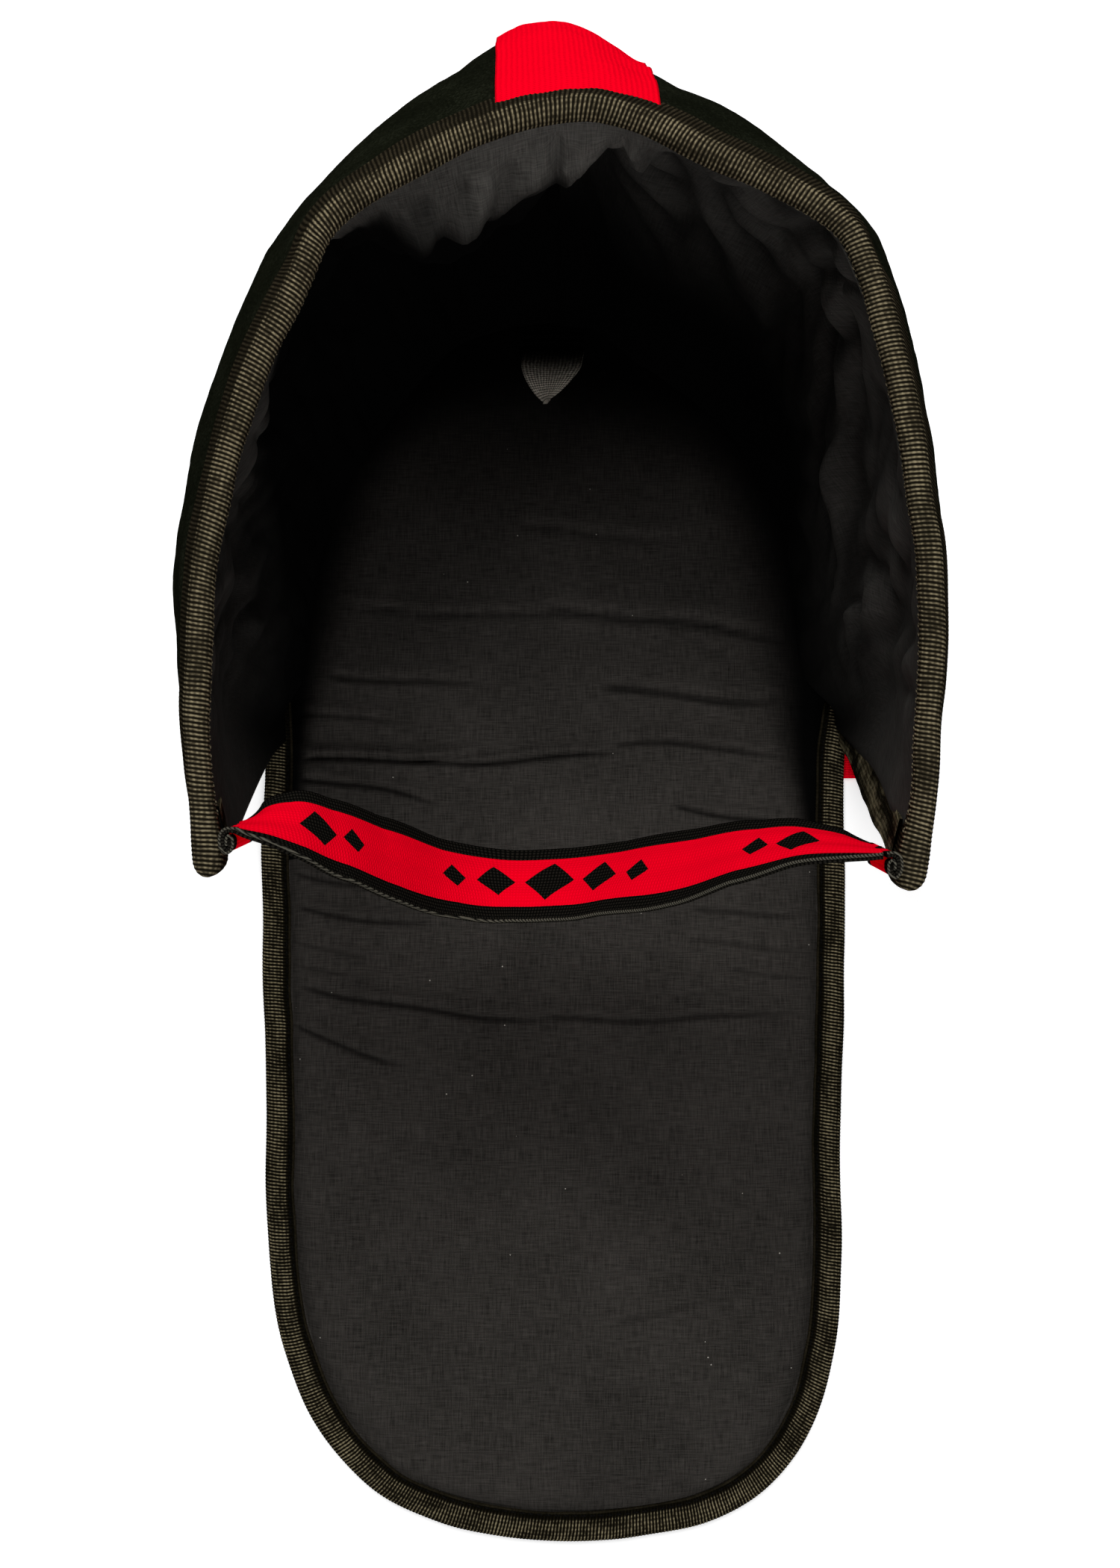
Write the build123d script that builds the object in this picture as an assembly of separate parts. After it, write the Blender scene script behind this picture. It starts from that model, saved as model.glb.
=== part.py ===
from build123d import *
from math import cos, pi, radians, sin, tan
import os

# A padded hood for the back of a fencing mask, lying on its back.
# X runs across the hood, +Y towards the crown, +Z out of the mouth.
# Y = 0 lies 20 mm in front of the hood's foot, where the nape flap leaves it.
# All sizes are in millimetres.

# cloth, tape and padding
layer_gap = 0.3
pad_clearance = 0.6
suede_thick = 1.2
lining_thick = 0.6
cotton_thick = 0.8
tape_thick = 1.0
tape_fold = 11.7
webbing_thick = 1.4
hood_foam_thick = 6.0
rim_foam_thick = 2.0
rim_taper_share = 0.15
pad_foam_thick = 9.0

# hood outline where it meets the back panel
foot_half_width = 121.0
foot_crown_reach = 200.0
foot_belly_forward = 60.0
foot_shoulder = 0.68
foot_brow = 0.66

# hood outline at its fullest
belly_share = 0.48
belly_half_width = 129.5
belly_crown_reach = 249.0
belly_forward = 50.0
belly_shoulder = 0.655
belly_fullness = 0.66
belly_brow = 0.53

# hood outline at the mouth
rim_height = 207.5
rim_tilt = 7.0
rim_half_width = 106.0
rim_crown_reach = 171.0
rim_forward = 15.0
rim_shoulder = 0.757
rim_fullness = 0.54
rim_brow = 0.54
rim_corner_half_width = 101.0

# front edges of the hood, from the foot up to the mouth's corners
hem_foot_y = 20.0
hem_corner_y = -48.0
front_run = 35.0

# how the outline rounds from the foot to the belly and on to the mouth
lower_round = 2.5
upper_round = 1.8
shoulder_in = 0.735
hood_levels = (0.0, 0.12, 0.30, 0.48, 0.65, 0.80, 0.92, 1.0, 1.08)

# crown stripe and nape band
stripe_width = 50.0
nape_band_width = 22.5
nape_band_overhang = 2.5

# nape flap
flap_step_in = 3.0
flap_taper = 4.0
flap_reach = 290.0
flap_tip_round = 107.0
flap_edge_round = 7.0
fold_y = -6.0
fold_gap = 0.3
fold_up = 55.0
fold_down = 40.0
fold_spare = 2.0
pad_edge_round = 3.0

# elastic strap between the two front corners
strap_width = 33.0
strap_thick = 1.6
strap_half_span = 87.0
strap_axis_y = -41.0
strap_axis_z = 190.0
strap_sag = 61.0
strap_lean = 41.7
strap_loop_round = 3.6
strap_loop_reach = 96.0

# webbing tab at the top of the head pad
tab_width = 25.0
tab_length = 25.0
tab_lift = 4.0
tab_root_y = 181.0
tab_root_length = 4.5
tab_root_height = 3.4

# worked out from the sizes above
pad_floor = max(suede_thick, tape_thick) + layer_gap
foam_floor = pad_floor + cotton_thick + layer_gap
facing_floor = foam_floor + pad_foam_thick + layer_gap
pad_top = facing_floor + cotton_thick
fold_z = pad_top / 2
flap_half_width = foot_half_width - flap_step_in
nape_band_half_length = foot_half_width + nape_band_overhang
edge_top = foam_floor + cotton_thick + layer_gap + tape_thick
foam_inset = suede_thick + layer_gap
far = 400.0


def blend(share, foot, belly, rim):
    """A size at one level, rounding from foot to belly to rim."""
    if share < belly_share:
        return belly + (foot - belly) * ((belly_share - share) / belly_share) ** lower_round
    rise = (share - belly_share) / (1 - belly_share)
    return belly + (rim - belly) * rise ** upper_round


def along(start, end, part):
    return (start[0] + (end[0] - start[0]) * part, start[1] + (end[1] - start[1]) * part)


def section_place(share):
    """Levels lie flat at the foot and lean back with the mouth at the rim."""
    return Pos(0, 0, rim_height * share) * Rot(rim_tilt * share, 0, 0)


def hood_outline(share, inset):
    """Half of one level, from the front edge round the shoulder to the crown."""
    half = blend(share, foot_half_width, belly_half_width, rim_half_width) - inset
    crown = blend(share, foot_crown_reach, belly_crown_reach, rim_crown_reach) - inset
    forward = blend(share, foot_belly_forward, belly_forward, rim_forward)
    shoulder = blend(share, foot_shoulder, belly_shoulder, rim_shoulder)
    fullness = blend(share, belly_fullness, belly_fullness, rim_fullness)
    brow_rise = blend(share, foot_brow, belly_brow, rim_brow)
    corner_half = foot_half_width + (rim_corner_half_width - foot_half_width) * share**1.5 - inset
    hem_y = hem_foot_y + (hem_corner_y - hem_foot_y) * share
    kink = (half * shoulder_in, forward + (crown - forward) * shoulder)
    side = (kink[0] + (half - kink[0]) * fullness, forward + (kink[1] - forward) * 0.6)
    brow = (kink[0] * 0.63, kink[1] + (crown - kink[1]) * brow_rise)
    return [
        (corner_half, hem_y - front_run),
        (corner_half, hem_y),
        (half, forward),
        side,
        along(kink, side, 0.25),
        along(kink, brow, 0.3),
        brow,
        (0, crown),
    ]


def arch_points(share, inset):
    """One level's points, from the right front edge over the crown to the left one."""
    right = hood_outline(share, inset)
    return right + [(-x, y) for x, y in reversed(right[:-1])]


def arch_steps():
    """Where the points lie along the curve, the same at every level, so that the levels match."""
    points = [Vector(point) for point in arch_points(belly_share, 0)]
    runs = [(b - a).length for a, b in zip(points, points[1:])]
    return [sum(runs[:count]) / sum(runs) for count in range(len(points))]


def hood_arch(share, inset):
    return Edge.make_spline([Vector(point) for point in arch_points(share, inset)], parameters=arch_steps())


def hood_section(share, inset):
    """One level of the hood's inside, closed across the front."""
    arch = hood_arch(share, inset)
    return section_place(share) * make_face([arch, Line(arch @ 1, arch @ 0)])


def hood_form(inset_at):
    """The closed form inside one layer's face; inset_at gives its depth at each level."""
    return loft([hood_section(share, inset_at(share)) for share in hood_levels])


def hood_wall(outer_at, inner_at):
    """One layer of the hood, lofted from bands between two curves at each level."""
    bands = []
    for share in hood_levels:
        outer = hood_arch(share, outer_at(share))
        inner = hood_arch(share, inner_at(share))
        ends = [Line(outer @ 0, inner @ 0), Line(outer @ 1, inner @ 1)]
        bands.append(section_place(share) * make_face([outer, inner, *ends]))
    return loft(bands)


def foam_at(share):
    """The padding keeps its thickness up to a taper under the rim binding."""
    taper = min(max((1 - share) / rim_taper_share, 0), 1)
    return rim_foam_thick + (hood_foam_thick - rim_foam_thick) * taper


def wall_at(share):
    return foam_inset + foam_at(share) + layer_gap + lining_thick


def mouth_profile(bottom, before_hem, above_rim):
    """Side view of the hood as a block: behind the hem and below the rim, moved out by two offsets."""
    hem_angle = Vector(hem_corner_y - hem_foot_y, rim_height).get_angle(Vector(0, 1))
    hem_shift = before_hem / cos(radians(hem_angle))
    rim_shift = above_rim / cos(radians(rim_tilt))
    rim_rise = tan(radians(rim_tilt))
    hem_run = (hem_corner_y - hem_foot_y) / (rim_height + hem_corner_y * rim_rise)
    foot = hem_foot_y - hem_shift
    top_z = (rim_height + rim_shift + rim_rise * foot) / (1 - rim_rise * hem_run)
    points = [
        (foot + hem_run * bottom, bottom),
        (foot + hem_run * top_z, top_z),
        (far, rim_height + rim_shift + rim_rise * far),
        (far, bottom),
    ]
    face = make_face(Polyline(*points, close=True))
    return Pos(far / 2, 0, 0) * extrude(Plane.YZ * face, -far)


def right_half(shape):
    return shape & Pos(far / 2 + layer_gap / 2, 0, 0) * Box(far, 2 * far, 2 * far)


def mirrored(shape):
    return mirror(shape, Plane.YZ)


def one_solid(shape):
    return max(shape.solids(), key=lambda solid: solid.volume)


def write(shape, node):
    solids = shape.solids()
    whole = solids[0] if len(solids) == 1 else Compound(solids)
    export_step(whole, f"parts/{node}.step")


def hood_layers():
    """Suede shell, foam and lining, each one in two halves that meet at the crown."""
    inside = mouth_profile(pad_floor, 0, 0)
    faces = {
        "outer_shell": (lambda share: 0, lambda share: suede_thick),
        "hood_foam": (lambda share: foam_inset, lambda share: foam_inset + foam_at(share)),
        "hood_lining": (lambda share: wall_at(share) - lining_thick, wall_at),
    }
    for name, (outer_at, inner_at) in faces.items():
        half = right_half(hood_wall(outer_at, inner_at) & inside)
        write(half, name + "_right")
        write(mirrored(half), name + "_left")


def hood_bindings():
    """Tape folded over the mouth's rim and over both front edges, as U sections."""
    reach = layer_gap + tape_thick
    tape = hood_wall(lambda share: -reach, lambda share: wall_at(share) + reach)
    pocket = hood_wall(lambda share: -layer_gap, lambda share: wall_at(share) + layer_gap)
    edges = tape - (pocket & mouth_profile(0, layer_gap, layer_gap))
    above_pad = pad_top + layer_gap
    covered = mouth_profile(above_pad, reach, reach)
    below_rim = mouth_profile(0, far / 8, -tape_fold)
    rim = (edges & covered) - below_rim
    write(one_solid(rim), "rim_binding")
    under_rim = mouth_profile(above_pad, reach, -tape_fold - layer_gap)
    behind_hem = mouth_profile(0, -tape_fold, far / 8)
    hem = one_solid(right_half((edges & under_rim) - behind_hem))
    write(hem, "hem_binding_right")
    write(mirrored(hem), "hem_binding_left")


def crown_stripe():
    """Webbing sewn over the centre seam from the rim binding down to the back panel."""
    webbing = hood_wall(lambda share: -layer_gap - webbing_thick, lambda share: -layer_gap)
    strip = Pos(0, far / 2, far / 2) * Box(stripe_width, far, far + 2 * rim_height)
    band = webbing & strip & mouth_profile(pad_floor, 0, -tape_fold - layer_gap)
    write(one_solid(band), "crown_stripe")


def back_parts():
    """Suede back panel under the hood and the red band along its lower seam."""
    panel = extrude(hood_section(0, 0), suede_thick)
    behind = Pos(0, hem_foot_y + far / 2, 0) * Box(far, far, far)
    write(panel & behind, "back_panel")
    band_y = hem_foot_y - layer_gap - nape_band_width / 2
    band = Box(2 * nape_band_half_length, nape_band_width, suede_thick)
    write(Pos(0, band_y, suede_thick / 2) * band, "nape_band")


def fold_block(side):
    """Block that keeps one side of the fold, its end cut back for the travel; side is 1 or -1."""
    top_relief = tan(radians(fold_up / 2 + fold_spare)) * fold_z * 1.5
    low_relief = tan(radians(fold_down / 2 + fold_spare)) * fold_z * 1.5
    apex = fold_y + side * fold_gap / 2
    points = [
        (apex, fold_z),
        (apex + side * top_relief, fold_z * 2.5),
        (side * far, fold_z * 2.5),
        (side * far, -fold_z * 0.5),
        (apex + side * low_relief, -fold_z * 0.5),
    ]
    face = make_face(Polyline(*points, close=True))
    return Pos(far / 2, 0, 0) * extrude(Plane.YZ * face, -far)


def head_pad():
    """The padded back of the hood, inside the walls: backing, foam and facing."""
    outline = hood_section(0, wall_at(0) + pad_clearance)
    kept = fold_block(1)
    backing = Pos(0, 0, pad_floor) * extrude(outline, cotton_thick)
    foam = Pos(0, 0, foam_floor) * extrude(outline, pad_foam_thick)
    top_edges = foam.edges().group_by(Axis.Z)[-1]
    foam = fillet(top_edges, pad_edge_round)
    facing = Pos(0, 0, facing_floor) * extrude(outline, cotton_thick)
    write(backing & kept, "head_pad_backing")
    write(foam & kept, "head_pad_foam")
    write(facing & kept, "head_pad_facing")


def flap_outline(inset):
    """Sides that draw in towards one round tip; it runs past the fold, where it is cut."""
    half = flap_half_width - inset
    tip_half = half - flap_taper
    tip_start = flap_tip_round - flap_reach
    end = fold_y + 3 * fold_z
    sides = Polyline((tip_half, tip_start), (half, end), (-half, end), (-tip_half, tip_start))
    tip = EllipticalCenterArc((0, tip_start), tip_half, flap_tip_round - inset, start_angle=180, arc_size=180)
    return make_face(sides + tip)


def flap_slab(inset, bottom, top):
    return Pos(0, 0, bottom) * extrude(flap_outline(inset), top - bottom)


def pillow(inset, bottom, top, edge_round):
    """A slab with its upper edge rounded over."""
    slab = flap_slab(inset, bottom, top)
    return fillet(slab.edges().group_by(Axis.Z)[-1], edge_round)


def nape_flap():
    """The flap: backing, foam, a facing that caps the foam, and the tape round its edge."""
    kept = fold_block(-1)
    cloth_inset = tape_thick + layer_gap
    cap_inset = tape_fold + layer_gap
    foam_edge = cap_inset + cotton_thick + layer_gap
    backing = flap_slab(cloth_inset, pad_floor, pad_floor + cotton_thick)
    inner_round = flap_edge_round - cotton_thick
    foam = pillow(foam_edge, foam_floor, facing_floor - layer_gap, inner_round - layer_gap)
    cap = pillow(cap_inset, foam_floor, pad_top, flap_edge_round)
    hollow = pillow(cap_inset + cotton_thick, pad_floor, facing_floor, inner_round)
    flange = flap_slab(cloth_inset, foam_floor, foam_floor + cotton_thick)
    facing = (cap + flange) - hollow
    ring = flap_slab(0, 0, edge_top) - flap_slab(tape_fold, -1, edge_top + 1)
    binding = ring - flap_slab(tape_thick, tape_thick, edge_top - tape_thick)
    write(backing & kept, "nape_flap_backing")
    write(foam & kept, "nape_flap_foam")
    write(facing & kept, "nape_flap_facing")
    write(binding & kept, "nape_flap_binding")


def strap_place():
    """Plane across the strap: X along the hood's width, normal along the strap's own width."""
    lean = radians(strap_lean)
    origin = (0, strap_axis_y, strap_axis_z)
    return Plane(origin, x_dir=(1, 0, 0), z_dir=(0, -cos(lean), sin(lean)))


def elastic_strap():
    """Flat elastic that leaves its sewn ends level and hangs in one bow between them."""
    reach = strap_half_span + strap_thick
    steps = [reach * step / 3 for step in range(-3, 4)]
    bow = Spline(*[(x, -strap_sag * (1 + cos(pi * x / reach)) / 2) for x in steps])
    lean = radians(strap_lean)
    across = Vector(0, -cos(lean), sin(lean))
    edge = Vector(0, strap_axis_y, strap_axis_z) - across * (strap_width / 2)
    upright = Plane(edge, x_dir=(1, 0, 0), z_dir=(0, -1, 0))
    strap = extrude(upright * trace(bow, strap_thick), strap_width, dir=across)
    span = Box(2 * strap_half_span, 2 * far, 2 * far)
    write(strap & span, "elastic_strap")


def strap_ends():
    """Each end of the elastic, folded back into a small loop and sewn inside the corner."""
    start = strap_half_span + layer_gap
    centre = start + strap_loop_round
    loop = Pos(centre, 0) * Circle(strap_loop_round)
    tongue = Pos((centre + strap_loop_reach) / 2, 0) * Rectangle(strap_loop_reach - centre, 2 * strap_thick)
    eye = Pos(centre, 0) * Circle(strap_loop_round - strap_thick)
    profile = (loop + tongue) - eye
    solid = extrude(strap_place() * profile, strap_width / 2, both=True)
    reach = 2 * layer_gap + tape_thick
    room = hood_form(lambda share: wall_at(share) + reach)
    right = one_solid(solid & room)
    write(right, "strap_end_right")
    write(mirrored(right), "strap_end_left")


def webbing_tab():
    """Short tab with a round end, hinged on the folded root sewn to the pad's upper end."""
    axis_z = pad_top + layer_gap + webbing_thick / 2
    half = tab_width / 2
    blank = Pos(0, -tab_length / 2, 0) * Box(tab_width, tab_length, webbing_thick)
    blank = blank - Pos(0, -tab_length, 0) * Box(tab_width, tab_width, 2 * webbing_thick)
    tip = Pos(0, half - tab_length, 0) * Cylinder(half, webbing_thick)
    knuckle = Rot(0, 90, 0) * Cylinder(webbing_thick / 2, tab_width)
    tab = blank + tip + knuckle
    write(Pos(0, tab_root_y, axis_z) * Rot(-tab_lift, 0, 0) * tab, "webbing_tab")
    root_y = tab_root_y + webbing_thick / 2 + layer_gap + tab_root_length / 2
    root = Box(tab_width, tab_root_length, tab_root_height)
    root = fillet(root.edges().filter_by(Axis.X), webbing_thick / 2)
    write(Pos(0, root_y, pad_top + layer_gap + tab_root_height / 2) * root, "tab_root")


os.makedirs("parts", exist_ok=True)
hood_layers()
hood_bindings()
crown_stripe()
back_parts()
head_pad()
nape_flap()
elastic_strap()
strap_ends()
webbing_tab()
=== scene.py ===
from math import cos, pi, radians, sin
import bpy
import numpy as np
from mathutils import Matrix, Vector, noise


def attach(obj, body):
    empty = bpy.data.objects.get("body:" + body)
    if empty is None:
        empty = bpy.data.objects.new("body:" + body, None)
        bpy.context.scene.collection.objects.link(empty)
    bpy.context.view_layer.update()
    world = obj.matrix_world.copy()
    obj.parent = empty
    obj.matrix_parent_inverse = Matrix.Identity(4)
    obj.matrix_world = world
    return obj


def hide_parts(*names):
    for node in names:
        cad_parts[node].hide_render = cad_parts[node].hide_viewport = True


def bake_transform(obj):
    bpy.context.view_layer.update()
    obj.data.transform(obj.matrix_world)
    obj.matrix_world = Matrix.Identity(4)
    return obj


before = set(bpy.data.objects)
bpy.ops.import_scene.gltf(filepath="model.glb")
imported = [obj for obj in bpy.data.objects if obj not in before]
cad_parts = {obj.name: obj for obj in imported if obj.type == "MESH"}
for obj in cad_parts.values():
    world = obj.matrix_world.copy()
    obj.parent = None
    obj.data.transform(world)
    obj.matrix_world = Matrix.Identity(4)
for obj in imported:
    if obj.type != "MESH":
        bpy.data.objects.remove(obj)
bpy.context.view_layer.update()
mm = 0.001
waveScale = 0.314  # over a pitch in millimetres it gives a wave texture one band in that pitch


# small tools: places and sizes are in millimetres until a mesh is made

def deselectAll():
    for item in bpy.context.selected_objects:
        item.select_set(False)


def hexColour(text):
    # sRGB hex to the linear values that the shader sockets take
    parts = [int(text[i:i + 2], 16) / 255 for i in (1, 3, 5)]
    return (*[p / 12.92 if p <= 0.04045 else ((p + 0.055) / 1.055) ** 2.4 for p in parts], 1.0)


def addNode(tree, kind, inputs=None, stops=None, **settings):
    # one node: an input is a value, a node for its first output, or (node, output); stops are (place, colour)
    node = tree.nodes.new("ShaderNode" + kind)
    for name, value in settings.items():
        setattr(node, name, value)
    for name, value in (inputs or {}).items():
        source, output = value if isinstance(value, tuple) and len(value) == 2 else (value, 0)
        if isinstance(source, bpy.types.Node):
            tree.links.new(source.outputs[output], node.inputs[name])
        else:
            node.inputs[name].default_value = value
    if stops:
        elements = node.color_ramp.elements
        while len(elements) < len(stops):
            elements.new(0.5)
        for element, (place, colour) in zip(elements, stops):
            element.position = place
            element.color = hexColour(colour)
    return node


def newMaterial(name):
    material = bpy.data.materials.new(name)
    material.use_nodes = True
    material.node_tree.nodes.clear()
    return material, material.node_tree


def finishMaterial(material, roughness, colour, relief=None, specular=0.0):
    # the cloths here are too rough to shine, so most have no specular
    inputs = {"Base Color": colour, "Roughness": roughness, "Specular IOR Level": specular}
    if relief:
        inputs["Normal"] = relief
    surface = addNode(material.node_tree, "BsdfPrincipled", inputs)
    addNode(material.node_tree, "OutputMaterial", {"Surface": surface})
    return material


def curveThrough(points, knots, at):
    # smooth curve through the points, each reached at its knot
    points, knots, at = np.array(points, float), np.array(knots, float), np.array(at, float)
    slopes = np.gradient(points, knots, axis=0)
    cell = np.clip(np.searchsorted(knots, at, side="right") - 1, 0, len(knots) - 2)
    width = (knots[cell + 1] - knots[cell])[:, None]
    x = (at[:, None] - knots[cell][:, None]) / width
    return ((2 * x**3 - 3 * x**2 + 1) * points[cell] + (x**3 - 2 * x**2 + x) * width * slopes[cell]
            + (3 * x**2 - 2 * x**3) * points[cell + 1] + (x**3 - x**2) * width * slopes[cell + 1])


def lengthsAlong(points):
    runs = np.linalg.norm(np.diff(np.array(points, float), axis=0), axis=1)
    return np.concatenate([[0], np.cumsum(runs)])


def evenly(points, count):
    # the same line with its points evenly spaced
    lengths = lengthsAlong(points)
    at = np.linspace(0, lengths[-1], count)
    return np.stack([np.interp(at, lengths, points[:, i]) for i in range(points.shape[1])], axis=1)


def hill(x, centre, width):
    return np.exp(-((x - centre) / width) ** 2)


def hills(x, places):
    # soft hills added up, each given as its centre, width and height
    return sum(high * hill(x, centre, width) for centre, width, high in places)


def ease(x, low, high):
    t = np.clip((x - low) / (high - low), 0, 1)
    return t * t * (3 - 2 * t)


def ripple(points, scale, seed):
    # smooth noise at each place
    flat = points.reshape(-1, points.shape[-1]) / scale + seed
    if flat.shape[1] == 2:
        flat = np.concatenate([flat, np.full((len(flat), 1), seed)], axis=1)
    return np.array([noise.noise(Vector(p)) for p in flat]).reshape(points.shape[:-1])


def bumps(points, layers):
    # layers of smooth noise added up, each given as its size, seed and height
    return sum(high * ripple(points, size, seed) for size, seed, high in layers)


def folds(points, scale, seed):
    # creased noise: rounded lobes that meet in sharp valleys
    return 2.2 * np.abs(ripple(points, scale, seed)) - 0.55


def unit(vectors):
    return vectors / np.maximum(np.linalg.norm(vectors, axis=-1, keepdims=True), 1e-9)


def normalsOf(grid):
    return unit(np.cross(np.gradient(grid, axis=1), np.gradient(grid, axis=0)))


def editAll(*operators):
    # each operator, with its settings, on the whole active mesh
    bpy.ops.object.mode_set(mode="EDIT")
    bpy.ops.mesh.select_all(action="SELECT")
    for operator, settings in operators:
        operator(**settings)
    bpy.ops.object.mode_set(mode="OBJECT")


def dress(piece, material, body):
    bpy.ops.object.shade_smooth()
    piece.data.materials.append(material)
    if body:
        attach(piece, body)
    return piece


def facesLookAway(mesh, centre):
    # whether the faces look away from a place, taken all together
    centres, normals = np.zeros(len(mesh.polygons) * 3), np.zeros(len(mesh.polygons) * 3)
    mesh.polygons.foreach_get("center", centres)
    mesh.polygons.foreach_get("normal", normals)
    return ((centres.reshape(-1, 3) - np.array(centre) * mm) * normals.reshape(-1, 3)).sum() >= 0


def clothPiece(name, grid, uvs, material, body=None, thick=0.0, merge=False, awayFrom=None, into=False,
               paintedShading=None):
    # a grid primitive whose vertices are laid on the places given; its UV map is in millimetres, and the
    # optional float for each vertex is painted light and shade for the cloth: black at 0, its full colour at
    # 1
    rows, columns = grid.shape[:2]
    deselectAll()
    bpy.ops.mesh.primitive_grid_add(x_subdivisions=columns - 1, y_subdivisions=rows - 1, size=2)
    piece = bpy.context.object
    piece.name = name
    mesh = piece.data
    flat = np.zeros(len(mesh.vertices) * 3)
    mesh.vertices.foreach_get("co", flat)
    flat = flat.reshape(-1, 3)
    column = np.rint((flat[:, 0] + 1) / 2 * (columns - 1)).astype(int)
    row = np.rint((flat[:, 1] + 1) / 2 * (rows - 1)).astype(int)
    mesh.vertices.foreach_set("co", (grid[row, column] * mm).ravel())
    if paintedShading is not None:
        mesh.attributes.new("paintedShading", "FLOAT", "POINT").data.foreach_set("value", paintedShading[row, column])
    corners = np.zeros(len(mesh.loops), int)
    mesh.loops.foreach_get("vertex_index", corners)
    mesh.uv_layers.active.data.foreach_set("uv", uvs[row[corners], column[corners]].ravel())
    mesh.update()
    if merge:
        editAll((bpy.ops.mesh.remove_doubles, {"threshold": 0.00002}),
                (bpy.ops.mesh.normals_make_consistent, {"inside": False}))
    if awayFrom is not None and facesLookAway(mesh, awayFrom) == into:
        editAll((bpy.ops.mesh.flip_normals, {}))
    if thick:
        wall = piece.modifiers.new("thickness", "SOLIDIFY")
        wall.thickness = thick * mm
        wall.offset = -1
        bpy.ops.object.modifier_apply(modifier="thickness")
    return dress(piece, material, body)


# for each row of stitches: their pitch, length and radius
stitches = {
    "rim_stitches": (2.7, 1.7, 0.42),
    "pad_stitches": (3.4, 2.5, 0.45),
    "strap_stitches": (2.6, 1.9, 0.35),
}


def stitchRow(name, line, up, material, body=None):
    # stitches along a line, each a small six-sided bead of thread
    pitch, long, radius = stitches[name]
    lengths = lengthsAlong(line)
    at = np.arange(pitch, lengths[-1] - pitch, pitch)
    place, along, rise = (np.stack([np.interp(at, lengths, values[:, i]) for i in range(3)], 1)
                          for values in (line, np.gradient(line, axis=0), up))
    along = unit(along)
    side = unit(np.cross(along, rise))
    rings = [(-0.5, 0.15), (-0.3, 0.9), (0.3, 0.9), (0.5, 0.15)]  # place along the bead, share of its radius
    vertices, faces = [], []
    for centre, forward, sideways, upwards in zip(place, along, side, rise):
        first = len(vertices)
        for run, size in rings:
            for turn in np.arange(6) * pi / 3:
                vertices.append((centre + forward * run * long
                                 + (sideways * cos(turn) + upwards * sin(turn)) * size * radius) * mm)
        for ring in range(3):
            low, high = first + ring * 6, first + ring * 6 + 6
            for k in range(6):
                faces.append((low + k, low + (k + 1) % 6, high + (k + 1) % 6, high + k))
        faces.append(tuple(first + k for k in range(5, -1, -1)))
        faces.append(tuple(first + 18 + k for k in range(6)))
    mesh = bpy.data.meshes.new(name)
    mesh.from_pydata([tuple(v) for v in vertices], [], faces)
    piece = bpy.data.objects.new(name, mesh)
    bpy.context.scene.collection.objects.link(piece)
    deselectAll()
    piece.select_set(True)
    bpy.context.view_layer.objects.active = piece
    editAll((bpy.ops.mesh.normals_make_consistent, {"inside": False}))
    return dress(piece, material, body)


def flatUvs(us, vs):
    return np.stack(np.meshgrid(us, vs), axis=-1)


def atHeight(flat, z):
    # flat places lifted to one height, or each to its own
    return np.concatenate([flat, np.broadcast_to(z, flat.shape[:-1])[..., None]], axis=-1)


# materials

def suede():
    # split leather, napped: no gloss, blue-black with paler fibre tips
    material, tree = newMaterial("suede")
    place = addNode(tree, "TexCoord")
    nap = addNode(tree, "TexNoise", {"Vector": (place, "Object"), "Scale": 1100, "Detail": 4,
                                     "Roughness": 0.75})  # fibres about 1 mm
    cloud = addNode(tree, "TexNoise", {"Vector": (place, "Object"), "Scale": 60, "Detail": 3})
    brushed = addNode(tree, "MapRange", {"Value": cloud, "From Min": 0.3, "From Max": 0.7,
                                         "To Min": 0.44, "To Max": 0.56})
    mix = addNode(tree, "Math", {0: nap, 1: brushed}, operation="MULTIPLY")
    ramp = addNode(tree, "ValToRGB", {"Fac": mix},
                   stops=[(0.12, "#060704"), (0.26, "#12140d"), (0.42, "#2c2f24")])
    relief = addNode(tree, "Bump", {"Height": nap, "Strength": 0.9, "Distance": 0.0006})
    return finishMaterial(material, 1.0, ramp, relief)


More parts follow.
